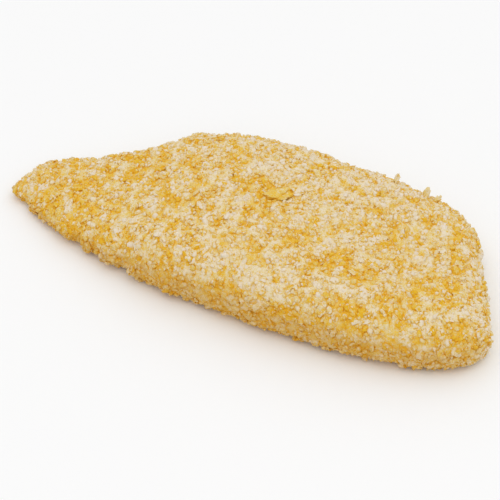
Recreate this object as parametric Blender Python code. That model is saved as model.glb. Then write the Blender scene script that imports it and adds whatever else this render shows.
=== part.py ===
"""Breaded fish fillet, uncooked and rolled in coarse breadcrumbs, lying on its flat side.

One solid in one named object, "fillet". Metres, +Z up. +X runs from the thin tail to the broad cut
end, +Y to the bowed back edge, and the origin is at the bottom centre of the bounding box. The solid
reaches to the tips of the crumbs; the crumbs themselves are left to the finish.
"""
import math
import random

import bmesh
import bpy
from mathutils import Vector, geometry, noise

NODE_NAME = "fillet"
MM = 0.001

# Plan outline in millimetres, anticlockwise from the tail tip. A smooth closed curve runs through it.
TAIL_AND_FRONT_EDGE = [
    (-84.5, -4.5), (-81.0, -10.5), (-70.0, -14.0), (-55.5, -20.5), (-34.0, -23.5),
    (-8.0, -26.0), (20.0, -26.0), (44.0, -23.5), (64.0, -19.0),
]
BROAD_CUT_END = [(77.5, -12.5), (82.5, -2.0), (76.5, 11.0), (69.0, 25.0), (61.0, 37.5)]
BOWED_BACK_EDGE = [
    (50.0, 45.0), (31.0, 47.5), (8.0, 48.5), (-15.0, 47.0), (-31.0, 43.5),
    (-43.0, 39.0), (-51.5, 29.0), (-63.0, 19.5), (-79.5, 10.5),
]

# Thickness in millimetres at stations along X: a thin tail, a step up to the loin, a full body.
THICKNESS_STATIONS = [
    (-85.0, 7.0), (-62.0, 10.0), (-44.0, 12.5), (-27.0, 16.5), (10.0, 18.0), (82.0, 16.0),
]
STATION_SLANT = 0.25        # how far the stations lean towards the tail on their way to the back edge
STATION_MIDDLE_Y = 10.0     # where a leaning station crosses its own X
CROWN_SHARE = 0.10          # share of the thickness that the top loses from its middle to its edge
CROWN_REACH = 26.0          # distance from the edge over which the top is crowned

# Rounded edge, in millimetres. The widest line, or rim, sits part of the way up.
RIM_HEIGHT_SHARE = 0.40     # height of the rim as a share of the thickness
TOP_ROUND = 11.0            # how far in from the rim the top's rounding reaches
BOTTOM_ROUND = 5.0          # how far in from the rim the underside's rounding reaches
ROUND_POWER = 2.3           # 2 is an ellipse, more is squarer

# Unevenness left by the batter and the crumbs, in millimetres
EDGE_LUMPS = [(17.0, 1.1), (7.0, 0.8)]          # (wavelength, depth) along the outline
TOP_LUMPS = [(24.0, 0.9), (10.0, 0.6), (5.5, 0.4)]  # (wavelength, height) over the top
EDGE_LUMP_OFFSET = 11.0     # where in the noise the outline's lumps are read
TOP_LUMP_OFFSET = 29.0      # where in the noise the top's lumps are read
LAYER_OFFSET = 3.7          # how far apart in the noise the layers of lumps are read
NOTCHES = [(-77.0, -12.0), (-50.5, -21.5), (-43.5, -22.5), (-31.0, -23.5)]  # small clefts in the edge
NOTCH_DEPTH = 1.8
NOTCH_WIDTH = 2.4

# Mesh spacing in millimetres
OUTLINE_STEP = 1.9
TOP_RINGS = [0.35, 1.1, 2.3, 4.0, 6.0, 8.2]     # distances in from the rim
BOTTOM_RINGS = [0.4, 1.3, 2.9, 5.0]
TOP_STEP = 2.25
BOTTOM_STEP = 6.5
JITTER_SHARE = 0.22         # how far a grid point strays, as a share of the spacing
CROWDING_SHARE = 0.92       # a ring point nearer to the outline than this share of its depth is dropped
CLEARANCE_SHARE = 0.6       # gap between the last ring and the grid, as a share of the spacing
WELD_DISTANCE = 1e-4
SEED = 7

BREADING_COLOUR = (0.70, 0.49, 0.20, 1.0)
BREADING_ROUGHNESS = 0.85


def clear_scene():
    """Remove everything that the new scene holds."""
    for item in list(bpy.data.objects):
        bpy.data.objects.remove(item, do_unlink=True)


def closed_curve(points, step):
    """Points about one step apart along a smooth closed curve through the given points."""
    count = len(points)
    knots = [Vector(point) for point in points]
    curve = []
    for index in range(count):
        before, start, end, after = (knots[(index + shift) % count] for shift in (-1, 0, 1, 2))
        pieces = max(1, round((end - start).length / step))
        for piece in range(pieces):
            t = piece / pieces
            curve.append(
                0.5 * (2.0 * start + (end - before) * t
                       + (2.0 * before - 5.0 * start + 4.0 * end - after) * t * t
                       + (3.0 * start - before - 3.0 * end + after) * t * t * t)
            )
    return curve


def outward_normals(curve):
    """Unit normals that point out of an anticlockwise closed curve."""
    normals = []
    for index in range(len(curve)):
        tangent = curve[(index + 1) % len(curve)] - curve[index - 1]
        normals.append(Vector((tangent.y, -tangent.x)).normalized())
    return normals


def lumps(x, y, layers, offset):
    """Height of smooth random lumps at a place, summed over (wavelength, height) layers."""
    return sum(
        height * noise.noise(Vector((x / wavelength, y / wavelength, offset + LAYER_OFFSET * layer)))
        for layer, (wavelength, height) in enumerate(layers)
    )


def uneven_outline():
    """The plan outline with its lumps and its small clefts."""
    smooth = closed_curve(TAIL_AND_FRONT_EDGE + BROAD_CUT_END + BOWED_BACK_EDGE, OUTLINE_STEP)
    outline = []
    for point, normal in zip(smooth, outward_normals(smooth)):
        out = lumps(point.x, point.y, EDGE_LUMPS, EDGE_LUMP_OFFSET)
        for notch in NOTCHES:
            gap = (point - Vector(notch)).length
            out -= NOTCH_DEPTH * math.exp(-(gap / NOTCH_WIDTH) ** 2)
        outline.append(point + normal * out)
    return outline


def edge_distance(point, outline):
    """Distance in plan from a place to the outline."""
    nearest = math.inf
    for index, start in enumerate(outline):
        end = outline[(index + 1) % len(outline)]
        foot, share = geometry.intersect_point_line(point, start, end)
        if share < 0.0:
            foot = start
        elif share > 1.0:
            foot = end
        nearest = min(nearest, (point - foot.xy).length)
    return nearest


def inside(point, outline):
    """Whether a place in plan lies inside the outline."""
    crossings = 0
    for index, start in enumerate(outline):
        end = outline[(index + 1) % len(outline)]
        if (start.y > point.y) != (end.y > point.y):
            crossing_x = start.x + (point.y - start.y) * (end.x - start.x) / (end.y - start.y)
            if point.x < crossing_x:
                crossings += 1
    return crossings % 2 == 1


def station_thickness(point):
    """Thickness at a place in plan, on a smooth curve through the stations."""
    x = point.x + STATION_SLANT * (point.y - STATION_MIDDLE_Y)
    stations = THICKNESS_STATIONS
    if x <= stations[0][0]:
        return stations[0][1]
    for index in range(len(stations) - 1):
        (x0, low), (x1, high) = stations[index], stations[index + 1]
        if x <= x1:
            t = (x - x0) / (x1 - x0)
            leave = station_slope(index) * (x1 - x0)
            arrive = station_slope(index + 1) * (x1 - x0)
            return (
                low + leave * t + (3.0 * (high - low) - 2.0 * leave - arrive) * t * t
                + (2.0 * (low - high) + leave + arrive) * t * t * t
            )
    return stations[-1][1]


def station_slope(index):
    """Slope of the thickness at a station: that between its neighbours, and level at the ends."""
    if index in (0, len(THICKNESS_STATIONS) - 1):
        return 0.0
    (x0, low), (x1, high) = THICKNESS_STATIONS[index - 1], THICKNESS_STATIONS[index + 1]
    return (high - low) / (x1 - x0)


def rounding(distance, reach):
    """Rise from 0 at the rim to 1 at the reach, upright at the rim and level at the reach."""
    gap = max(0.0, 1.0 - distance / reach)
    return (1.0 - gap ** ROUND_POWER) ** (1.0 / ROUND_POWER)


def rim_height(point):
    """Height of the widest line above the resting plane."""
    return RIM_HEIGHT_SHARE * station_thickness(point)


def top_height(point, distance):
    """Height of the top surface at a place that far in from the rim."""
    thickness = station_thickness(point)
    crown = 1.0 - CROWN_SHARE * max(0.0, 1.0 - distance / CROWN_REACH) ** 2
    swell = lumps(point.x, point.y, TOP_LUMPS, TOP_LUMP_OFFSET)
    low = rim_height(point)
    return low + (thickness * crown + swell - low) * rounding(distance, TOP_ROUND)


def bottom_height(point, distance):
    """Height of the underside: flat, and rounded up to the rim at the edge."""
    return rim_height(point) * (1.0 - rounding(distance, BOTTOM_ROUND))


def ring_points(outline, depths):
    """Points on rings set in from the outline, without those that crowd at a cleft."""
    normals = outward_normals(outline)
    points = []
    for depth in depths:
        for point, normal in zip(outline, normals):
            moved = point - normal * depth
            if edge_distance(moved, outline) > CROWDING_SHARE * depth:
                points.append(moved)
    return points


def field_points(outline, step, clear_of_edge, rng):
    """Jittered points of a triangular grid that lie clear of the edge."""
    points = []
    low_x = min(point.x for point in outline)
    high_x = max(point.x for point in outline)
    low_y = min(point.y for point in outline)
    high_y = max(point.y for point in outline)
    row_step = step * math.sqrt(0.75)
    for row in range(int((high_y - low_y) / row_step) + 1):
        for column in range(int((high_x - low_x) / step) + 1):
            place = Vector((
                low_x + (column + 0.5 * (row % 2)) * step + rng.uniform(-1, 1) * JITTER_SHARE * step,
                low_y + row * row_step + rng.uniform(-1, 1) * JITTER_SHARE * step,
            ))
            if inside(place, outline) and edge_distance(place, outline) > clear_of_edge:
                points.append(place)
    return points


def add_sheet(bm, outline, rim, inner, height, faces_up):
    """Triangulate one side between the shared rim and its inner points, and lift it."""
    places = outline + inner
    edges = [(index, (index + 1) % len(outline)) for index in range(len(outline))]
    found, _, triangles, *_ = geometry.delaunay_2d_cdt(places, edges, [], 1, WELD_DISTANCE)
    corners = list(rim)
    for place in found[len(rim):]:
        z = height(place, edge_distance(place, outline))
        corners.append(bm.verts.new((place.x * MM, place.y * MM, z * MM)))
    for triangle in triangles:
        order = triangle if faces_up else tuple(reversed(triangle))
        bm.faces.new([corners[index] for index in order])


def centre_on_resting_plane(bm):
    """Move the mesh so that the origin is at the bottom centre of its box."""
    low = [min(vert.co[axis] for vert in bm.verts) for axis in range(3)]
    high = [max(vert.co[axis] for vert in bm.verts) for axis in range(3)]
    shift = Vector((-(low[0] + high[0]) / 2, -(low[1] + high[1]) / 2, -low[2]))
    bmesh.ops.translate(bm, verts=bm.verts, vec=shift)


def breading_material():
    """Pale golden breadcrumbs: dry, matt and without shine."""
    material = bpy.data.materials.new("breading")
    material.use_nodes = True
    shader = material.node_tree.nodes["Principled BSDF"]
    shader.inputs["Base Color"].default_value = BREADING_COLOUR
    shader.inputs["Roughness"].default_value = BREADING_ROUGHNESS
    shader.inputs["Metallic"].default_value = 0.0
    return material


def build_fillet():
    """The whole fillet: a lifted top and a flat underside that share one rim."""
    rng = random.Random(SEED)
    outline = uneven_outline()
    bm = bmesh.new()
    rim = [bm.verts.new((point.x * MM, point.y * MM, rim_height(point) * MM)) for point in outline]

    top_inner = ring_points(outline, TOP_RINGS)
    top_inner += field_points(outline, TOP_STEP, TOP_RINGS[-1] + CLEARANCE_SHARE * TOP_STEP, rng)
    add_sheet(bm, outline, rim, top_inner, top_height, True)

    bottom_inner = ring_points(outline, BOTTOM_RINGS)
    bottom_inner += field_points(outline, BOTTOM_STEP, BOTTOM_RINGS[-1] + CLEARANCE_SHARE * OUTLINE_STEP, rng)
    add_sheet(bm, outline, rim, bottom_inner, bottom_height, False)

    bmesh.ops.recalc_face_normals(bm, faces=bm.faces)
    centre_on_resting_plane(bm)
    mesh = bpy.data.meshes.new(NODE_NAME)
    bm.to_mesh(mesh)
    bm.free()
    mesh.shade_smooth()
    mesh.materials.append(breading_material())
    fillet = bpy.data.objects.new(NODE_NAME, mesh)
    bpy.context.scene.collection.objects.link(fillet)
    return fillet


def main():
    """Build the fillet in an empty scene."""
    clear_scene()
    build_fillet()


main()
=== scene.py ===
"""Looks of an uncooked breaded fish fillet: batter under clumps of cream crumb and golden crust crumb.

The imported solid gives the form, out to the tips of the crumbs. A rough coat lies a little under that
form and stands for the batter and the finest meal. Joined meshes of separate crumbs, one for each kind,
cover it. Lengths in millimetres are turned to metres where meshes are made.
"""
import logging
import math
from dataclasses import dataclass, field
from enum import Enum

import bmesh
import bpy
import numpy as np
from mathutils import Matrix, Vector, noise
from mathutils.bvhtree import BVHTree


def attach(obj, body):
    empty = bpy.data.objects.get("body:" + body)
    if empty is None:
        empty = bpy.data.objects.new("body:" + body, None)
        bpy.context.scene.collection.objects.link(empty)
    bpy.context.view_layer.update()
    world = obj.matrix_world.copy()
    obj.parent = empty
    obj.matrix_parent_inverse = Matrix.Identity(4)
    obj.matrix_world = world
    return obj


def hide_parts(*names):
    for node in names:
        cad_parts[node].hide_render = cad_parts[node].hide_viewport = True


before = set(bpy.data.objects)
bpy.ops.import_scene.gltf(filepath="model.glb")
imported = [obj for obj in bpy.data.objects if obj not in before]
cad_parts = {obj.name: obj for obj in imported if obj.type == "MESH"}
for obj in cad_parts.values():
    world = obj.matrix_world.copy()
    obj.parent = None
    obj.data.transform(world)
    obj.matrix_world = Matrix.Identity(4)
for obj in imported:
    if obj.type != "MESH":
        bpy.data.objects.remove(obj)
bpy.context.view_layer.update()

logging.basicConfig(level=logging.INFO, format="%(levelname)s %(message)s")
LOG = logging.getLogger("fillet")

MM = 0.001
NODE = "fillet"
BODY = "root"

# what the meshes carry for their materials
TONE = "tone"
FRONT_SHADE = "shaded_front"
BAKE_MAP = "OFBake"

# the crumb was pressed on with strokes in this direction, which drew it out
LIE = np.array([0.48, -0.88, 0.0])

# tones run from 0, deep golden, to 1, palest cream
CREAM_TONE = 0.92
GOLDEN_TONE = 0.30
# crumbs above this tone join the cream piece of their layer, the others the golden one
MIDDLE_TONE = 0.5
# how much more golden a bit of crust is than the crumb that it is fused to
GOLDEN_BIT = -0.4

# a length, in any unit, that counts as nothing
TINY = 1e-6


class Kind(Enum):
    """The two kinds of crumb that the breading is mixed from."""

    CREAM = "cream"
    GOLDEN = "golden"


class Shading(Enum):
    """How the faces of a mesh meet: rounded throughout, or with sharp broken edges."""

    ROUNDED = "rounded"
    BROKEN = "broken"


def linear(hex_colour: str) -> tuple[float, float, float, float]:
    """Turn an sRGB hex colour into linear light.

    Args:
        hex_colour: Six hex digits after a hash sign.

    Returns:
        Linear red, green and blue, and an alpha of 1.
    """
    channels = [int(hex_colour[index:index + 2], 16) / 255 for index in (1, 3, 5)]
    lit = [c / 12.92 if c <= 0.04045 else ((c + 0.055) / 1.055) ** 2.4 for c in channels]
    return lit[0], lit[1], lit[2], 1.0


def add_node(
    tree: bpy.types.NodeTree,
    kind: str,
    settings: dict[str, object] | None = None,
    values: dict[str | int, object] | None = None,
    links: dict[str | int, bpy.types.NodeSocket] | None = None,
) -> bpy.types.Node:
    """Add a node with its settings, socket values and incoming links.

    Args:
        tree: The node tree to add to.
        kind: Type name of the node.
        settings: Properties of the node itself.
        values: Default values of its inputs, by name or number.
        links: Sockets that feed its inputs, by name or number.

    Returns:
        The new node.
    """
    node = tree.nodes.new(kind)
    for name, value in (settings or {}).items():
        setattr(node, name, value)
    for name, value in (values or {}).items():
        node.inputs[name].default_value = value
    for name, socket in (links or {}).items():
        tree.links.new(socket, node.inputs[name])
    return node


def remap(
    tree: bpy.types.NodeTree,
    socket: bpy.types.NodeSocket,
    source: tuple[float, float],
    target: tuple[float, float],
) -> bpy.types.NodeSocket:
    """Add a node that carries one range of values over to another.

    Args:
        tree: The node tree to add to.
        socket: The value to carry over.
        source: Its two ends.
        target: What those ends become.

    Returns:
        The new value.
    """
    ends = {"From Min": source[0], "From Max": source[1], "To Min": target[0], "To Max": target[1]}
    return add_node(tree, "ShaderNodeMapRange", values=ends, links={"Value": socket}).outputs["Result"]


def combine(
    tree: bpy.types.NodeTree,
    operation: str,
    first: bpy.types.NodeSocket,
    second: bpy.types.NodeSocket,
) -> bpy.types.NodeSocket:
    """Add a node that works one value out from two.

    Args:
        tree: The node tree to add to.
        operation: Name of the sum, such as ADD.
        first: Left value.
        second: Right value.

    Returns:
        The result.
    """
    node = add_node(tree, "ShaderNodeMath", {"operation": operation}, links={0: first, 1: second})
    return node.outputs["Value"]


def noise_at(points: np.ndarray, wavelength: float, offset: float) -> np.ndarray:
    """Read smooth gradient noise.

    Args:
        points: Places, one row each.
        wavelength: Size of a lump, in the same unit.
        offset: Shift that gives each use its own pattern.

    Returns:
        One value for each place, mostly between -0.6 and 0.6.
    """
    shifted = points / wavelength + offset
    return np.array([noise.noise(Vector(place)) for place in shifted.tolist()])


def unit(vectors: np.ndarray) -> np.ndarray:
    """Scale each row to unit length."""
    return vectors / np.linalg.norm(vectors, axis=1, keepdims=True)


# colours of dried bread, from its toasted crust to its white middle
DEEP_GOLD = "#E8B72B"
GOLD = "#E7C152"
STRAW = "#E4CB86"
CREAM = "#E8D8B2"
PALE_CREAM = "#EBDDC8"
BREAD_COLOURS = ((0.0, DEEP_GOLD), (0.25, GOLD), (0.5, STRAW), (0.75, CREAM), (1.0, PALE_CREAM))

# painted shade: the steep front side, away from the lamps, is multiplied by this colour
FRONT_SHADE_TINT = "#F2E4CC"


@dataclass(frozen=True)
class PressedCrumb:
    """Bread that was dried, ground and pressed into wet batter.

    Drying leaves it porous and matt. The warm, soft shade between crumbs is painted shade: where crumbs
    sit close, the colour is turned golden and brightened, in place of light that scatters inside the
    bread. Grinding leaves a fine grain on every broken face. The tone that each crumb carries
    picks its colour.
    """

    name: str
    colours: tuple[tuple[float, str], ...] = BREAD_COLOURS
    # grain of the ground faces, drawn a little coarser than real meal of 0.2 to 0.3 mm so that it shows,
    # and how much of the tone it changes either way
    grain_mm: float = 0.42
    grain_share: float = 0.28
    grain_detail: float = 1.5
    grain_falloff: float = 0.6
    grain_range: tuple[float, float] = (0.25, 0.75)
    # pores split the bread into small cells, each with its own tone, and raggedness breaks their edges
    cell_mm: float = 0.95
    cell_share: float = 0.18
    cell_range: tuple[float, float] = (0.0, 1.0)
    raggedness: float = 0.7
    seam_share: float = 0.05
    seam_range: tuple[float, float] = (0.75, 0.15)
    # painted shade: the tone turns golden where crumbs sit close and pale where they stand free, by how
    # open each place is
    reach_mm: float = 3.0
    look_count: int = 6
    openness: tuple[float, float] = (0.35, 0.85)
    shade_painted_tone: float = -0.44
    open_painted_tone: float = 0.06
    # painted light: the colour is brightened where crumbs sit close, for light that wanders on from crumb
    # to crumb
    painted_bounce_lift: float = 1.10
    bump_mm: float = 0.15
    bump_strength: float = 0.6
    # dry starch is matt and hardly glints
    roughness: float = 0.85
    ior: float = 1.45
    specular: float = 0.25

    def make(self) -> bpy.types.Material:
        """Build the node material.

        Returns:
            The material.
        """
        material = bpy.data.materials.new(self.name)
        material.use_nodes = True
        tree = material.node_tree
        tree.nodes.clear()
        place = add_node(tree, "ShaderNodeTexCoord").outputs["Object"]
        tone = add_node(tree, "ShaderNodeAttribute", {"attribute_name": TONE}).outputs["Fac"]
        shaded_front = add_node(tree, "ShaderNodeAttribute", {"attribute_name": FRONT_SHADE}).outputs["Fac"]
        grain = add_node(
            tree, "ShaderNodeTexNoise",
            values={
                "Scale": 1.0 / (self.grain_mm * MM),
                "Detail": self.grain_detail,
                "Roughness": self.grain_falloff,
            },
            links={"Vector": place},
        )
        ragged = add_node(
            tree, "ShaderNodeVectorMath", {"operation": "MULTIPLY_ADD"},
            values={1: (self.cell_mm * MM * self.raggedness,) * 3},
            links={0: grain.outputs["Color"], 2: place},
        )
        cells = add_node(
            tree, "ShaderNodeTexVoronoi",
            values={"Scale": 1.0 / (self.cell_mm * MM)},
            links={"Vector": ragged.outputs["Vector"]},
        )
        own = add_node(tree, "ShaderNodeSeparateColor", links={"Color": cells.outputs["Color"]})
        # painted shade: how open each place is turns the tone golden where crumbs sit close
        free = add_node(
            tree, "ShaderNodeAmbientOcclusion", {"samples": self.look_count},
            values={"Distance": self.reach_mm * MM},
        ).outputs["AO"]
        stand = remap(tree, free, self.openness, (self.shade_painted_tone, self.open_painted_tone))
        mixed = combine(tree, "ADD", tone, stand)
        for socket, ends, share in (
            (grain.outputs["Fac"], self.grain_range, self.grain_share),
            (own.outputs["Red"], self.cell_range, self.cell_share),
            (cells.outputs["Distance"], self.seam_range, self.seam_share),
        ):
            mixed = combine(tree, "ADD", mixed, remap(tree, socket, ends, (-share, share)))
        # painted shade: the steep front side, away from the lamps, is darkened by a tint
        tinted = add_node(
            tree, "ShaderNodeMixRGB", {"blend_type": "MULTIPLY"},
            values={"Color2": linear(FRONT_SHADE_TINT)},
            links={"Fac": shaded_front, "Color1": self.colour(tree, mixed)},
        )
        # painted light: the colour is brightened where crumbs sit close
        painted_bounce_colour = add_node(
            tree, "ShaderNodeVectorMath", {"operation": "SCALE"},
            links={
                0: tinted.outputs["Color"],
                "Scale": remap(tree, free, self.openness, (self.painted_bounce_lift, 1.0)),
            },
        )
        bump = add_node(
            tree, "ShaderNodeBump",
            values={"Strength": self.bump_strength, "Distance": self.bump_mm * MM},
            links={"Height": combine(tree, "SUBTRACT", grain.outputs["Fac"], cells.outputs["Distance"])},
        )
        shader = add_node(
            tree, "ShaderNodeBsdfPrincipled",
            values={"Roughness": self.roughness, "IOR": self.ior, "Specular IOR Level": self.specular},
            links={"Base Color": painted_bounce_colour.outputs["Vector"], "Normal": bump.outputs["Normal"]},
        )
        add_node(tree, "ShaderNodeOutputMaterial", links={"Surface": shader.outputs["BSDF"]})
        return material

    def colour(self, tree: bpy.types.NodeTree, tone: bpy.types.NodeSocket) -> bpy.types.NodeSocket:
        """Turn a tone into a colour.

        Args:
            tree: The node tree to add to.
            tone: The tone, from 0 to 1.

        Returns:
            The colour.
        """
        node = add_node(tree, "ShaderNodeValToRGB", links={"Fac": tone})
        stops = node.color_ramp.elements
        for stop, (position, colour) in zip(stops, (self.colours[0], self.colours[-1])):
            stop.position = position
            stop.color = linear(colour)
        for position, colour in self.colours[1:-1]:
            stops.new(position).color = linear(colour)
        return node.outputs["Color"]


# flour batter, tinted by the golden meal that soaked into it; in the gaps it is also painted deeper gold as
# shade
BATTER = PressedCrumb("golden_batter")
# ground from the middle of the loaf: it stays cream, and lies on the batter in pale clumps
WHITE_CRUMB = PressedCrumb("dried_white_crumb")
# ground from the baked crust: it brings the golden specks and patches
CRUST_CRUMB = PressedCrumb("toasted_crust_crumb")


@dataclass(frozen=True)
class WhitePaper:
    """A sweep of uncoated white paper, so matt that it takes a soft shadow and mirrors nothing."""

    name: str = "white_paper"
    colour: str = "#FBFBFB"
    roughness: float = 0.9
    specular: float = 0.1

    def make(self) -> bpy.types.Material:
        """Build the material.

        Returns:
            The material.
        """
        material = bpy.data.materials.new(self.name)
        material.use_nodes = True
        shader = material.node_tree.nodes["Principled BSDF"]
        shader.inputs["Base Color"].default_value = linear(self.colour)
        shader.inputs["Roughness"].default_value = self.roughness
        shader.inputs["Specular IOR Level"].default_value = self.specular
        return material


@dataclass
class FilletForm:
    """The outer form of the breaded fillet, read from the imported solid, in millimetres."""

    # faces whose normals point further down than this are the underside
    under: float = -0.9
    points: np.ndarray = field(init=False)
    corners: np.ndarray = field(init=False)
    normals: np.ndarray = field(init=False)
    areas: np.ndarray = field(init=False)

    def __post_init__(self) -> None:
        """Read the solid's vertices, triangles and smooth normals."""
        clean = bmesh.new()
        clean.from_mesh(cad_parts[NODE].data)
        bmesh.ops.remove_doubles(clean, verts=clean.verts, dist=TINY)
        bmesh.ops.triangulate(clean, faces=clean.faces)
        clean.verts.ensure_lookup_table()
        self.points = np.array([vert.co for vert in clean.verts]) / MM
        self.corners = np.array([[vert.index for vert in face.verts] for face in clean.faces])
        clean.free()
        a, b, c = (self.points[self.corners[:, index]] for index in range(3))
        cross = np.cross(b - a, c - a)
        self.areas = np.linalg.norm(cross, axis=1) / 2
        smooth = np.zeros_like(self.points)
        for index in range(3):
            np.add.at(smooth, self.corners[:, index], cross)
        self.normals = unit(smooth)

    def sample(
        self, count: int, under_share: float, rng: np.random.Generator,
    ) -> tuple[np.ndarray, np.ndarray]:
        """Pick places spread evenly over the form.

        Args:
            count: How many places.
            under_share: Density on the underside as a share of that on top.
            rng: Source of chance.

        Returns:
            Places and outward normals, one row each.
        """
        facing = self.normals[self.corners].mean(axis=1)[:, 2]
        weight = self.areas * np.where(facing < self.under, under_share, 1.0)
        triangle = rng.choice(len(weight), count, p=weight / weight.sum())
        u, v = rng.random((2, count))
        fold = u + v > 1
        u[fold], v[fold] = 1 - u[fold], 1 - v[fold]
        shares = np.stack([1 - u - v, u, v], axis=1)[:, :, None]
        places = (self.points[self.corners[triangle]] * shares).sum(axis=1)
        normals = (self.normals[self.corners[triangle]] * shares).sum(axis=1)
        return places, unit(normals)


# x, y and radius in mm
Patch = tuple[float, float, float]


@dataclass
class Breading:
    """How the breading varies: raised cream clumps with lower golden ground between them."""

    # size of the clumps in mm, and how strongly they show
    clumps: tuple[tuple[float, float], ...] = ((24.0, 0.25), (12.0, 0.3), (5.0, 0.6), (3.0, 2.0))
    # gives each size of clump its own pattern
    pattern_start: float = 1.3
    pattern_step: float = 3.7
    # how cream the breading is on the whole, and how far clumps and ground differ
    middle: float = 0.60
    contrast: float = 0.48
    # how many times longer than wide the strokes drew the clumps
    drawn_out: float = 1.5
    # how quickly golden ground turns to cream at the edge of a clump
    edge: float = 2.2
    # how deep the golden ground lies, how cream it is where it starts to rise, and over how much it rises
    hollow_mm: float = 0.30
    rise_from: float = 0.1
    rise_over: float = 0.8
    # how far normals point up where the sides begin, and over how much they turn upright
    brow: float = 0.85
    brow_span: float = 0.7
    # painted shade: the steep front side, which faces away from the lamps, is painted less cream, more even
    # and, in the material, darker
    front_side: tuple[float, float] = (-0.2, -0.98)
    # how much painted shade the two ends take, and how much more the front
    shade_at_ends: float = 0.35
    shade_at_front: float = 0.65
    shade_golden: float = 0.14
    shade_share: float = 0.32
    evened: float = 0.6
    # painted light: the steep back edge, which faces the back lamp, is painted paler
    painted_back_light: float = 0.35
    # the thin tail took up less cream crumb
    tail: float = 0.20
    tail_x: float = -38.0
    tail_span: float = 12.0
    # places where crust or crumb gathered by chance, and how much less or more cream their middles are
    golden_change: float = -0.8
    golden_patches: tuple[Patch, ...] = (
        (-51, -28, 3.5), (-14, -36, 3.5), (-43, -33, 2.5), (5, -36, 3), (2, 5, 4), (-30, 8, 2.5),
        (-22, 0, 2.5), (4, -4, 2.5), (17, -10, 3), (31, -13, 3.5), (44, -30, 4), (66, -6, 4),
        (74, -19, 4), (57, -18, 2.5), (49, -3, 2.5), (59, 20, 3), (42, -16, 3), (54, -25, 2.5),
        (-65, -22, 4),
    )
    cream_change: float = 0.2
    cream_patches: tuple[Patch, ...] = (
        (-9, 20, 7), (26, 25, 6), (-54, -10, 4), (-34, -21, 4), (-2, -30, 6), (11, -29, 5),
        (47, -8, 4), (32, -22, 4), (69, -25, 4), (54, 6, 5), (-14, 38, 10), (8, 38, 12), (30, 36, 10),
    )

    def steep(self, normals: np.ndarray) -> np.ndarray:
        """How steep the breading stands: 0 on the top, 1 on the upright sides."""
        return np.clip((self.brow - normals[:, 2]) / self.brow_span, 0, 1)

    def shaded_front(self, normals: np.ndarray) -> np.ndarray:
        """How much painted shade a place takes on the steep front side, away from the lamps: 0 on the top
        and back, up to 1 on the front edge.
        """
        level = normals[:, :2] / np.maximum(np.linalg.norm(normals[:, :2], axis=1, keepdims=True), TINY)
        facing = level @ np.array(self.front_side)
        return self.steep(normals) * np.clip(self.shade_at_ends + self.shade_at_front * facing, 0, 1)

    def back_lit(self, normals: np.ndarray) -> np.ndarray:
        """How much painted light a place takes on the steep back edge, which faces the back lamp: 0 on the
        top and front, up to 1 on the back edge.
        """
        return self.steep(normals) * np.clip(-(normals[:, :2] @ np.array(self.front_side)), 0, 1)

    def cream(self, points: np.ndarray, normals: np.ndarray) -> np.ndarray:
        """Read how cream the breading is.

        Args:
            points: Places in millimetres.
            normals: Outward normals there.

        Returns:
            One value for each place, about 0 in golden ground and 1 in a cream clump.
        """
        value = np.full(len(points), self.middle)
        drawn = points - (points @ LIE)[:, None] * LIE * (1 - 1 / self.drawn_out)
        for layer, (size, weight) in enumerate(self.clumps):
            offset = self.pattern_step * layer + self.pattern_start
            value += self.contrast * weight * noise_at(drawn, size, offset)
        for patches, change in (
            (self.golden_patches, self.golden_change),
            (self.cream_patches, self.cream_change),
        ):
            for x, y, radius in patches:
                gap = np.hypot(points[:, 0] - x, points[:, 1] - y) / radius
                value += change * np.exp(-gap ** 2)
        # painted light makes the steep back edge paler, painted shade makes the steep front side less cream
        value += self.painted_back_light * self.back_lit(normals) - self.shade_golden * self.shaded_front(normals)
        value -= self.tail * np.clip((self.tail_x - points[:, 0]) / self.tail_span + 0.5, 0, 1)
        return value

    def tone(self, cream: np.ndarray, shaded_front: np.ndarray) -> np.ndarray:
        """Tone of the crumbs, with a quick change at the edge of a clump and evened out on the front side
        that takes painted shade.

        Args:
            cream: How cream the breading is.
            shaded_front: How much painted shade the place takes on the steep front side.

        Returns:
            One tone for each place, from golden to cream.
        """
        share = 0.5 + 0.5 * np.tanh((cream - 0.5) * self.edge)
        share += (self.shade_share - share) * self.evened * shaded_front
        return GOLDEN_TONE + (CREAM_TONE - GOLDEN_TONE) * share

    def hollow(self, cream: np.ndarray) -> np.ndarray:
        """How far the ground lies below the outer form, in mm, for a given creaminess."""
        raised = np.clip((cream - self.rise_from) / self.rise_over, 0, 1)
        return self.hollow_mm * (1 - raised * raised * (3 - 2 * raised))


@dataclass
class Shape:
    """One crumb shape of about unit radius: how pale each vertex is, its place on a map and its bit."""

    points: np.ndarray
    faces: np.ndarray
    shades: np.ndarray
    unwrapped: np.ndarray
    bits: np.ndarray


@dataclass
class Bunch:
    """Crumbs joined into one mesh, with a tone, a painted front shade and a map place for each vertex."""

    points: np.ndarray
    faces: np.ndarray
    tones: np.ndarray
    shaded_front: np.ndarray
    unwrapped: np.ndarray | None = None


def join(parts: list[Bunch]) -> Bunch:
    """Join bunches whose triangles are already numbered one after another."""
    names = ("points", "faces", "tones", "shaded_front", "unwrapped")
    return Bunch(*(np.concatenate([getattr(part, name) for part in parts]) for name in names))


def unwrap(corners: np.ndarray, half: float = 0.44) -> np.ndarray:
    """Lay the vertices of one bit out in a square cell, top in the middle and underside at the rim.

    Args:
        corners: The vertices, around the origin.
        half: Half the side of the square that they fill, in a cell of side 1.

    Returns:
        A place in the cell for each vertex.
    """
    way = corners / np.abs(corners).sum(axis=1, keepdims=True)
    flat = way[:, :2].copy()
    under = way[:, 2] < 0
    folded = (1 - np.abs(flat[:, ::-1])) * np.where(flat >= 0, 1.0, -1.0)
    flat[under] = folded[under]
    return 0.5 + half * flat


def cell_corner(cells: np.ndarray, grid: int) -> np.ndarray:
    """Column and row of numbered cells in a square grid."""
    return np.stack([cells % grid, cells // grid], axis=-1)


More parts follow.
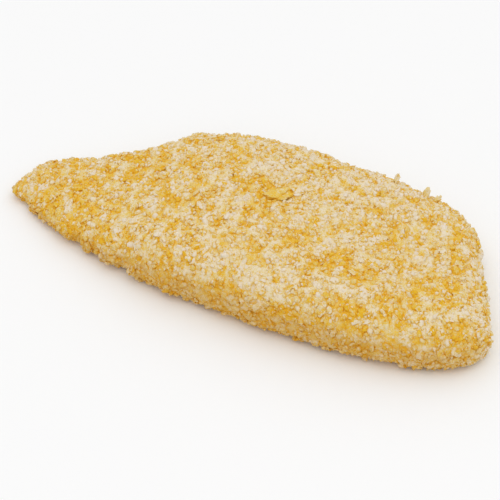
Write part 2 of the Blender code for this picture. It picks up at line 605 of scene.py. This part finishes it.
def make_piece(
    name: str, bunch: Bunch, material: bpy.types.Material, shading: Shading, crease: float = 60.0,
) -> bpy.types.Object:
    """Turn a bunch into a mesh object that rides on the fillet's body.

    Args:
        name: Name of the piece.
        bunch: Its vertices, triangles and what goes with them, in millimetres.
        material: Its material.
        shading: How its faces meet.
        crease: Angle in degrees above which a broken edge stays sharp.

    Returns:
        The new object.
    """
    mesh = bpy.data.meshes.new(name)
    mesh.vertices.add(len(bunch.points))
    mesh.vertices.foreach_set("co", (bunch.points * MM).astype(np.float32).ravel())
    mesh.loops.add(bunch.faces.size)
    mesh.loops.foreach_set("vertex_index", bunch.faces.astype(np.int32).ravel())
    mesh.polygons.add(len(bunch.faces))
    mesh.polygons.foreach_set("loop_start", np.arange(0, bunch.faces.size, 3, dtype=np.int32))
    mesh.update(calc_edges=True)
    mesh.shade_smooth()
    if shading is Shading.BROKEN:
        mesh.set_sharp_from_angle(angle=math.radians(crease))
    for label, values in ((TONE, bunch.tones), (FRONT_SHADE, bunch.shaded_front)):
        layer = mesh.attributes.new(label, "FLOAT", "POINT")
        layer.data.foreach_set("value", values.astype(np.float32))
    if bunch.unwrapped is not None:
        bake_map = mesh.uv_layers.new(name=BAKE_MAP)
        spots = bunch.unwrapped[bunch.faces.ravel()]
        bake_map.uv.foreach_set("vector", spots.astype(np.float32).ravel())
    mesh.materials.append(material)
    piece = bpy.data.objects.new(name, mesh)
    bpy.context.scene.collection.objects.link(piece)
    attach(piece, BODY)
    LOG.info("%s: %d triangles", name, len(bunch.faces))
    return piece


@dataclass
class CrumbShapes:
    """A small stock of irregular crumb shapes of about unit radius, single or fused from several bits."""

    stock: int
    corner_count: int
    jaggedness: float
    bits: int
    seed: int
    # least and most size of a bit along its three axes, before it is scaled and moved out
    bit_least: tuple[float, float, float] = (1.0, 0.55, 0.4)
    bit_most: tuple[float, float, float] = (1.1, 1.0, 0.8)
    bit_size: tuple[float, float] = (0.3, 0.8)
    bit_reach: tuple[float, float] = (0.6, 1.0)
    # how many of the bits are crust, and how much the paleness of the bits varies
    crust_share: float = 0.18
    shade_spread: float = 0.06
    # how far corners stray from even spacing, for a crumb with one corner
    stray: float = 0.35
    # coarse and fine swellings as shares of the radius, and pits and points at single corners
    coarse: float = 0.9
    fine: float = 0.4
    fine_share: float = 0.6
    swell_share: float = 0.9
    pits: tuple[float, float] = (-0.4, 0.25)
    # flat fracture faces, and how far from the middle they lie
    fractures: int = 2
    fracture_at: tuple[float, float] = (0.55, 0.85)
    # patterns are read from places up to this far apart, so that no two bits share one
    pattern_span: float = 40.0

    def make(self) -> list[Shape]:
        """Make the stock."""
        rng = np.random.default_rng(self.seed)
        return [self.fused(rng) for _ in range(self.stock)]

    def fused(self, rng: np.random.Generator) -> Shape:
        """Fuse the bits of one crumb, each with its own paleness.

        Args:
            rng: Source of chance.

        Returns:
            The crumb.
        """
        points, faces, shades, unwrapped = [], [], [], []
        start = 0
        for _ in range(self.bits):
            corners, triangles = self.single(rng)
            if self.bits > 1:
                turn = np.linalg.qr(rng.normal(size=(3, 3)))[0]
                turn *= np.sign(np.linalg.det(turn))
                corners = corners * rng.uniform(self.bit_least, self.bit_most) @ turn
                size = rng.uniform(*self.bit_size)
                away = unit(rng.normal(size=(1, 3)))[0]
                unwrapped.append(unwrap(corners))
                corners = corners * size + away * (1 - size) * rng.uniform(*self.bit_reach)
            else:
                unwrapped.append(unwrap(corners))
            points.append(corners)
            faces.append(triangles + start)
            golden = GOLDEN_BIT if self.bits > 1 and rng.random() < self.crust_share else 0.0
            shades.append(np.full(len(corners), golden + rng.normal(0, self.shade_spread)))
            start += len(corners)
        bits = np.repeat(np.arange(self.bits), [len(part) for part in points])
        return Shape(*map(np.concatenate, (points, faces, shades, unwrapped)), bits)

    def single(self, rng: np.random.Generator) -> tuple[np.ndarray, np.ndarray]:
        """Break one bit: a dented hull with a few flat fracture faces.

        Args:
            rng: Source of chance.

        Returns:
            Its vertices and triangles.
        """
        turn = math.pi * (3 - math.sqrt(5))
        steps = np.arange(self.corner_count)
        height = 1 - 2 * (steps + 0.5) / self.corner_count
        ring = np.sqrt(1 - height ** 2)
        directions = np.stack([ring * np.cos(turn * steps), ring * np.sin(turn * steps), height], axis=1)
        stray = self.stray / math.sqrt(self.corner_count)
        directions = unit(directions + rng.normal(0, stray, directions.shape))
        hull = bmesh.new()
        for direction in directions:
            hull.verts.new(direction)
        bmesh.ops.convex_hull(hull, input=hull.verts)
        bmesh.ops.triangulate(hull, faces=hull.faces)
        bmesh.ops.recalc_face_normals(hull, faces=hull.faces)
        hull.verts.index_update()
        hull.verts.ensure_lookup_table()
        points = np.array([vert.co for vert in hull.verts])
        triangles = np.array([[vert.index for vert in face.verts] for face in hull.faces])
        hull.free()
        swell = noise_at(points, self.coarse, self.pattern_span * rng.random())
        swell = swell + self.fine_share * noise_at(points, self.fine, self.pattern_span * rng.random())
        dents = self.swell_share * swell + rng.uniform(*self.pits, len(points))
        points *= (1 + self.jaggedness * dents)[:, None]
        for _ in range(self.fractures):
            cut = unit(rng.normal(size=(1, 3)))[0]
            past = points @ cut - rng.uniform(*self.fracture_at)
            points -= np.maximum(past, 0)[:, None] * cut
        return points, triangles


@dataclass
class Crust:
    """What has been laid on the fillet so far, for later crumbs to settle on."""

    points: np.ndarray = field(default_factory=lambda: np.zeros((0, 3)))
    faces: np.ndarray = field(default_factory=lambda: np.zeros((0, 3), dtype=int))

    def add(self, points: np.ndarray, faces: np.ndarray) -> None:
        """Add a layer to the crust."""
        self.faces = np.concatenate([self.faces, faces + len(self.points)])
        self.points = np.concatenate([self.points, points])

    def depths(
        self, places: np.ndarray, normals: np.ndarray, start: float = 2.0, reach: float = 6.0,
    ) -> np.ndarray:
        """Find how far below the given places the crust lies.

        Args:
            places: Places on or above the outer form, in millimetres.
            normals: Outward directions there.
            start: How far outside the look starts.
            reach: How far the look goes.

        Returns:
            Depths in millimetres.
        """
        tree = BVHTree.FromPolygons(self.points.tolist(), self.faces.tolist(), all_triangles=True)
        depths = []
        for place, normal in zip(places.tolist(), normals.tolist()):
            way = Vector(normal)
            distance = tree.ray_cast(Vector(place) + way * start, -way, reach)[3]
            depths.append(start if distance is None else distance - start)
        return np.array(depths)


@dataclass
class BatterCoat:
    """The coat of batter and fine crumbs that the separate crumbs stick to."""

    depth_mm: float = 0.7
    # the coat stays at least this far under the outer form
    least_mm: float = 0.1
    # size of the pebbles of meal in it, and how far they stand up, both in mm
    relief: tuple[tuple[float, float], ...] = ((2.4, 0.22), (1.1, 0.22))
    # share of that height in the middle of a pebble, and how much of it is lost out at the rim
    relief_top: float = 0.8
    relief_fall: float = 1.6
    # gives each size of pebble its own pattern
    relief_step: float = 5.3
    # how often the faces of the solid are split
    splits: int = 2
    # wet batter is a little more golden than the crumbs on it
    wet_tone: float = -0.08

    def build(self, form: FilletForm, breading: Breading, crust: Crust) -> None:
        """Make the coat just under the outer form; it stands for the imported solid.

        Args:
            form: The outer form.
            breading: Where cream and golden crumbs gather.
            crust: Crust that the coat is added to.
        """
        points, normals, faces = self.refine(form)
        cream = breading.cream(points, normals)
        # painted shade on the steep front side, carried to the material
        shaded_front = breading.shaded_front(normals)
        lift = -self.depth_mm - breading.hollow(cream)
        for layer, (wavelength, height) in enumerate(self.relief):
            cells = (points / wavelength + self.relief_step * layer).tolist()
            nearest = np.array([noise.voronoi(Vector(cell))[0][0] for cell in cells])
            lift += height * (self.relief_top - self.relief_fall * np.clip(nearest, 0, 1))
        lift = np.minimum(lift, -self.least_mm)
        points = points + normals * lift[:, None]
        points[:, 2] = np.maximum(points[:, 2], 0.0)
        tones = breading.tone(cream, shaded_front) + self.wet_tone
        coat = Bunch(points, faces, tones, shaded_front)
        piece = make_piece("batter_coat", coat, BATTER.make(), Shading.ROUNDED)
        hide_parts(NODE)
        crust.add(points, faces)

    def refine(self, form: FilletForm) -> tuple[np.ndarray, np.ndarray, np.ndarray]:
        """Split and round the faces of the outer form.

        Args:
            form: The outer form.

        Returns:
            Vertices in millimetres, their normals, and triangles.
        """
        base = bpy.data.meshes.new("coat_base")
        base.from_pydata((form.points * MM).tolist(), [], form.corners.tolist())
        cage = bpy.data.objects.new("coat_cage", base)
        bpy.context.scene.collection.objects.link(cage)
        rounds = cage.modifiers.new("rounds", "SUBSURF")
        rounds.levels = rounds.render_levels = self.splits
        graph = bpy.context.evaluated_depsgraph_get()
        fine = bpy.data.meshes.new_from_object(cage.evaluated_get(graph), depsgraph=graph)
        bpy.data.objects.remove(cage)
        work = bmesh.new()
        work.from_mesh(fine)
        bmesh.ops.triangulate(work, faces=work.faces)
        work.normal_update()
        points = np.array([vert.co for vert in work.verts]) / MM
        normals = np.array([vert.normal for vert in work.verts])
        faces = np.array([[vert.index for vert in face.verts] for face in work.faces])
        work.free()
        return points, normals, faces


@dataclass
class CrumbLayer:
    """Crumbs of one size, settled on the crust and joined by colour into two pieces.

    Sizes are in mm. Buried is the least and most share of its height that a crumb sinks in. Spacing is
    the least gap between two crumbs as a share of their radii, and tilt is how far they lie askew.
    """

    name: str
    count: int
    small_mm: float
    large_mm: float
    flatness: float
    buried: tuple[float, float]
    corner_count: int
    jaggedness: float
    seed: int
    spacing: float = 0.0
    tilt: float = 0.35
    bits: int = 1
    stock: int = 24
    # places tried for each crumb where they keep a gap
    tries: int = 3
    # above 1, small crumbs outnumber large ones
    size_skew: float = 1.5
    under_share: float = 0.25
    # how much the tones vary, and how much of that is taken away on the front side that is painted in shade
    tone_spread: float = 0.26
    shade_evens: float = 0.7
    # how much deeper, as a share of its height, a crumb sits on the steep front sides
    front_sunk: float = 0.10
    # how far the proudest crumbs on the sides stand out of the outer form; few stand out that far
    proud_mm: float = 1.2
    proud_skew: int = 2
    # how far the long sides stray from the direction of the strokes
    scatter: float = 0.5
    width_range: tuple[float, float] = (0.75, 1.0)
    length_range: tuple[float, float] = (1.0, 1.35)
    height_range: tuple[float, float] = (0.75, 1.25)
    # crumbs are pressed flat this far above the ground
    ground_mm: float = 0.02

    def build(self, form: FilletForm, breading: Breading, crust: Crust) -> None:
        """Scatter the crumbs and join the cream ones and the golden ones.

        Args:
            form: The outer form, which only crumbs on the sides pass, by up to proud_mm.
            breading: Where cream and golden crumbs gather.
            crust: What they settle on, to which they are added.
        """
        rng = np.random.default_rng(self.seed)
        candidates = self.count * (self.tries if self.spacing else 1)
        places, normals = form.sample(candidates, self.under_share, rng)
        growth = rng.random(len(places)) ** self.size_skew
        radii = self.small_mm * (self.large_mm / self.small_mm) ** growth / 2
        chosen = self.thin_out(places, radii)
        places, normals, radii = places[chosen], normals[chosen], radii[chosen]
        shaded_front = breading.shaded_front(normals)
        tones = breading.tone(breading.cream(places, normals), shaded_front)
        tones += rng.normal(0, self.tone_spread, len(places)) * (1 - self.shade_evens * shaded_front)
        pale = tones > MIDDLE_TONE
        depths = crust.depths(places, normals)
        bunches = []
        for kind, picked, finish in ((Kind.CREAM, pale, WHITE_CRUMB), (Kind.GOLDEN, ~pale, CRUST_CRUMB)):
            bunch = self.settle(
                places[picked], normals[picked], radii[picked], tones[picked], depths[picked],
                breading, rng,
            )
            make_piece(f"{kind.value}_{self.name}", bunch, finish.make(), Shading.BROKEN)
            bunches.append(bunch)
        for bunch in bunches:
            crust.add(bunch.points, bunch.faces)

    def thin_out(self, places: np.ndarray, radii: np.ndarray) -> np.ndarray:
        """Drop crumbs that lie too close to an earlier one.

        Args:
            places: Candidate places.
            radii: Their radii.

        Returns:
            The numbers of the crumbs that stay.
        """
        if self.spacing == 0.0:
            return np.arange(len(places))
        taken: dict[tuple[int, int, int], list[int]] = {}
        stay = []
        keys = np.floor(places / self.large_mm).astype(int)
        for index, key in enumerate(map(tuple, keys.tolist())):
            near = [
                other
                for dx in (-1, 0, 1) for dy in (-1, 0, 1) for dz in (-1, 0, 1)
                for other in taken.get((key[0] + dx, key[1] + dy, key[2] + dz), ())
            ]
            if near:
                gaps = np.linalg.norm(places[near] - places[index], axis=1)
                if np.any(gaps < self.spacing * (radii[near] + radii[index])):
                    continue
            taken.setdefault(key, []).append(index)
            stay.append(index)
            if len(stay) >= self.count:
                break
        return np.array(stay)

    def settle(
        self, places: np.ndarray, normals: np.ndarray, radii: np.ndarray, tones: np.ndarray,
        depths: np.ndarray, breading: Breading, rng: np.random.Generator,
    ) -> Bunch:
        """Settle a shape from the stock at each place.

        Args:
            places: Places on the outer form.
            normals: Outward normals there.
            radii: Crumb radii.
            tones: Crumb tones.
            depths: How far below the outer form the crust lies there.
            breading: Where the front side takes painted shade and where the breading stands steep.
            rng: Source of chance.

        Returns:
            The crumbs, joined.
        """
        shapes = CrumbShapes(
            self.stock, self.corner_count, self.jaggedness, self.bits, self.seed + 1,
        ).make()
        number = len(places)
        shaded_front = breading.shaded_front(normals)
        picks = rng.integers(0, len(shapes), number)
        up = unit(normals + rng.normal(0, self.tilt, (number, 3)))
        side = unit(np.cross(up, LIE + rng.normal(0, self.scatter, (number, 3))))
        axes = np.stack([side, np.cross(up, side), up], axis=1)
        stretch = np.ones((number, 3))
        stretch[:, 0] = rng.uniform(*self.width_range, number)
        stretch[:, 1] = rng.uniform(*self.length_range, number)
        stretch[:, 2] = self.flatness * rng.uniform(*self.height_range, number)
        shares = rng.uniform(*self.buried, number) + self.front_sunk * shaded_front
        proud = self.proud_mm * breading.steep(normals) * rng.random(number) ** self.proud_skew
        grid = math.ceil(math.sqrt(number * self.bits))
        parts: list[Bunch] = []
        start = 0
        for index, shape in enumerate(shapes):
            rows = np.nonzero(picks == index)[0]
            local = shape.points[None] * (stretch[rows] * radii[rows, None])[:, None]
            local = np.einsum("nvk,nkj->nvj", local, axes[rows])
            heights = np.einsum("nvj,nj->nv", local, normals[rows])
            top, bottom = heights.max(axis=1), heights.min(axis=1)
            rise = -depths[rows] - bottom - shares[rows] * (top - bottom)
            rise = np.minimum(rise, proud[rows] - top)
            size = len(shape.points)
            offsets = start + np.arange(len(rows)) * size
            corner = cell_corner(rows[:, None] * self.bits + shape.bits, grid)
            parts.append(Bunch(
                (local + places[rows, None] + normals[rows, None] * rise[:, None, None]).reshape(-1, 3),
                (shape.faces[None] + offsets[:, None, None]).reshape(-1, 3),
                (tones[rows, None] + shape.shades).ravel(),
                np.repeat(shaded_front[rows], size),
                ((corner + shape.unwrapped) / grid).reshape(-1, 2),
            ))
            start += len(rows) * size
        bunch = join(parts)
        bunch.points[:, 2] = np.maximum(bunch.points[:, 2], self.ground_mm)
        return bunch


# laid down in this order, large before small, as the meal fills what the coarse crumb leaves open
LAYERS = (
    CrumbLayer(
        name="clusters", count=400, small_mm=4.4, large_mm=7.8, flatness=0.8, buried=(0.45, 0.62),
        corner_count=14, jaggedness=0.4, seed=11, spacing=0.7, bits=12,
    ),
    CrumbLayer(
        name="lumps", count=1100, small_mm=2.6, large_mm=4.4, flatness=1.0, buried=(0.40, 0.60),
        corner_count=14, jaggedness=0.4, seed=19, spacing=0.6, tilt=0.5, bits=5,
    ),
    CrumbLayer(
        name="crumbs", count=3600, small_mm=1.3, large_mm=2.6, flatness=1.0, buried=(0.44, 0.68),
        corner_count=18, jaggedness=0.36, seed=13, spacing=0.6, tilt=0.6,
    ),
    CrumbLayer(
        name="fine_crumbs", count=9500, small_mm=0.65, large_mm=1.2, flatness=0.9, buried=(0.50, 0.76),
        corner_count=10, jaggedness=0.4, seed=15, tilt=0.7,
    ),
    CrumbLayer(
        name="meal", count=6000, small_mm=0.35, large_mm=0.6, flatness=0.9, buried=(0.4, 0.65),
        corner_count=6, jaggedness=0.30, seed=17, tilt=2.0,
    ),
)


@dataclass(frozen=True)
class Standout:
    """A crumb big or odd enough to be known by sight.

    Lengths are in mm, turn is degrees from +x towards +y, lean is degrees that its long side rises, and
    buried is the share of its height that sinks in.
    """

    x: float
    y: float
    length: float
    width: float
    height: float
    turn: float
    lean: float
    tone: float
    buried: float


@dataclass
class Standouts:
    """The flat flake of crust on top and the horn-like crumbs on the back edge."""

    crumbs: tuple[Standout, ...] = (
        Standout(x=3, y=5, length=10.0, width=5.6, height=2.2, turn=29, lean=0, tone=0.34, buried=0.66),
        Standout(x=42, y=30, length=5.4, width=2.6, height=2.4, turn=95, lean=50, tone=0.55, buried=0.25),
        Standout(x=46, y=29.6, length=4.8, width=2.2, height=2.0, turn=70, lean=54, tone=0.60, buried=0.25),
        Standout(x=31, y=32, length=4.4, width=2.2, height=2.0, turn=105, lean=48, tone=0.70, buried=0.25),
    )
    corner_count: int = 14
    bits: int = 12
    jaggedness: float = 0.5
    seed: int = 23
    # they are lowered onto the crust from this height
    above_mm: float = 30.0
    start_mm: float = 2.0
    reach_mm: float = 60.0
    # their bits are of one kind, so none is much more golden than the rest
    shade_floor: float = -0.1

    def build(self, form: FilletForm, breading: Breading, crust: Crust) -> None:
        """Set each one into the crust below it.

        Args:
            form: The outer form, for the slope of the fillet.
            breading: Where the front side takes painted shade.
            crust: What they are set into, to which they are added.
        """
        places = np.array([(crumb.x, crumb.y, self.above_mm) for crumb in self.crumbs])
        ups = np.tile((0.0, 0.0, 1.0), (len(places), 1))
        places[:, 2] -= crust.depths(places, ups, self.start_mm, self.reach_mm)
        stock = CrumbShapes(
            len(self.crumbs), self.corner_count, self.jaggedness, self.bits, self.seed,
        ).make()
        grid = math.ceil(math.sqrt(len(stock) * self.bits))
        parts: list[Bunch] = []
        start = 0
        for index, (crumb, shape, place) in enumerate(zip(self.crumbs, stock, places)):
            slope = form.normals[np.argmin(np.linalg.norm(form.points - place, axis=1))]
            local = self.shaped(crumb, shape, slope)
            heights = local @ slope
            rise = -heights.min() - crumb.buried * (heights.max() - heights.min())
            corner = cell_corner(index * self.bits + shape.bits, grid)
            parts.append(Bunch(
                local + place + slope * rise,
                shape.faces + start,
                crumb.tone + np.maximum(shape.shades, self.shade_floor),
                np.repeat(breading.shaded_front(slope[None]), len(local)),
                (corner + shape.unwrapped) / grid,
            ))
            start += len(local)
        bunch = join(parts)
        make_piece("standout_crumbs", bunch, CRUST_CRUMB.make(), Shading.BROKEN)
        crust.add(bunch.points, bunch.faces)

    def shaped(self, crumb: Standout, shape: Shape, slope: np.ndarray) -> np.ndarray:
        """Stretch a shape to the size of a crumb and turn it the way the crumb lies.

        Args:
            crumb: The crumb.
            shape: The shape that it takes.
            slope: Outward normal of the fillet below it.

        Returns:
            Its vertices in millimetres, around its middle.
        """
        turn, lean = math.radians(crumb.turn), math.radians(crumb.lean)
        ahead = np.array([math.cos(turn), math.sin(turn), 0.0])
        ahead = unit((ahead - slope * (ahead @ slope))[None])[0]
        across = np.cross(slope, ahead)
        raised = ahead * math.cos(lean) + slope * math.sin(lean)
        up = slope * math.cos(lean) - ahead * math.sin(lean)
        local = shape.points / np.abs(shape.points).max(axis=0)
        local = local * np.array([crumb.length, crumb.width, crumb.height]) / 2
        return local @ np.stack([raised, across, up])


@dataclass(frozen=True)
class Softbox:
    """A square lamp that faces the fillet. Angles are in degrees, side in metres and power in watts."""

    name: str
    azimuth: float
    elevation: float
    side: float
    power: float
    distance: float = 1.3


@dataclass
class Studio:
    """A plain white sweep under soft light from above and behind."""

    azimuth: float = 28.9
    elevation: float = 42.0
    lens_mm: float = 120.0
    distance_mm: float = 514.2
    aim_mm: tuple[float, float, float] = (2.6, -12.3, 8.0)
    clip: tuple[float, float] = (0.01, 20)
    room_light: float = 0.69
    floor_half: float = 4.0
    floor_drop: float = 0.0002
    lamps: tuple[Softbox, ...] = (
        Softbox("back_softbox", azimuth=195.0, elevation=72.0, side=3.0, power=9.0),
        Softbox("front_softbox", azimuth=29.0, elevation=58.0, side=1.6, power=3.5),
    )

    def direction(self, azimuth: float, elevation: float) -> Vector:
        """Unit vector towards a place seen at these angles from the fillet."""
        a, e = math.radians(azimuth), math.radians(elevation)
        return Vector((math.sin(a) * math.cos(e), -math.cos(a) * math.cos(e), math.sin(e)))

    def place(self, name: str, data: bpy.types.ID, back: Vector, location: Vector) -> bpy.types.Object:
        """Put up a camera or a lamp.

        Args:
            name: Its name.
            data: The camera or the light.
            back: Direction from the fillet to it.
            location: Where it stands.

        Returns:
            The new object.
        """
        item = bpy.data.objects.new(name, data)
        item.location = location
        item.rotation_mode = "QUATERNION"
        item.rotation_quaternion = back.to_track_quat("Z", "Y")
        bpy.context.scene.collection.objects.link(item)
        return item

    def camera(self) -> None:
        """Place the camera."""
        data = bpy.data.cameras.new("camera")
        data.lens = self.lens_mm
        data.clip_start, data.clip_end = self.clip
        back = self.direction(self.azimuth, self.elevation)
        location = Vector(self.aim_mm) * MM + back * self.distance_mm * MM
        bpy.context.scene.camera = self.place("camera", data, back, location)

    def lamp(self, softbox: Softbox) -> None:
        """Hang a softbox."""
        data = bpy.data.lights.new(softbox.name, "AREA")
        data.shape = "SQUARE"
        data.size = softbox.side
        data.energy = softbox.power
        back = self.direction(softbox.azimuth, softbox.elevation)
        self.place(softbox.name, data, back, back * softbox.distance)

    def floor(self) -> None:
        """Lay the white floor."""
        mesh = bpy.data.meshes.new("floor")
        half = self.floor_half
        corners = [(-half, -half, 0), (half, -half, 0), (half, half, 0), (-half, half, 0)]
        mesh.from_pydata(corners, [], [(0, 1, 2, 3)])
        mesh.materials.append(WhitePaper().make())
        floor = bpy.data.objects.new("floor", mesh)
        floor.location.z = -self.floor_drop
        bpy.context.scene.collection.objects.link(floor)

    def world(self) -> None:
        """Fill the room with even white light."""
        world = bpy.data.worlds.new("room")
        world.use_nodes = True
        world.node_tree.nodes["Background"].inputs["Color"].default_value = (1, 1, 1, 1)
        world.node_tree.nodes["Background"].inputs["Strength"].default_value = self.room_light
        bpy.context.scene.world = world

    def build(self) -> None:
        """Set up the room, the lamps and the camera."""
        bpy.context.scene.view_settings.view_transform = "Standard"
        self.world()
        self.floor()
        for softbox in self.lamps:
            self.lamp(softbox)
        self.camera()


def main() -> None:
    """Build the fillet's pieces in order, then the studio."""
    form = FilletForm()
    breading = Breading()
    crust = Crust()
    BatterCoat().build(form, breading, crust)
    for layer in LAYERS:
        layer.build(form, breading, crust)
    Standouts().build(form, breading, crust)
    Studio().build()


if __name__ == "__main__":
    main()
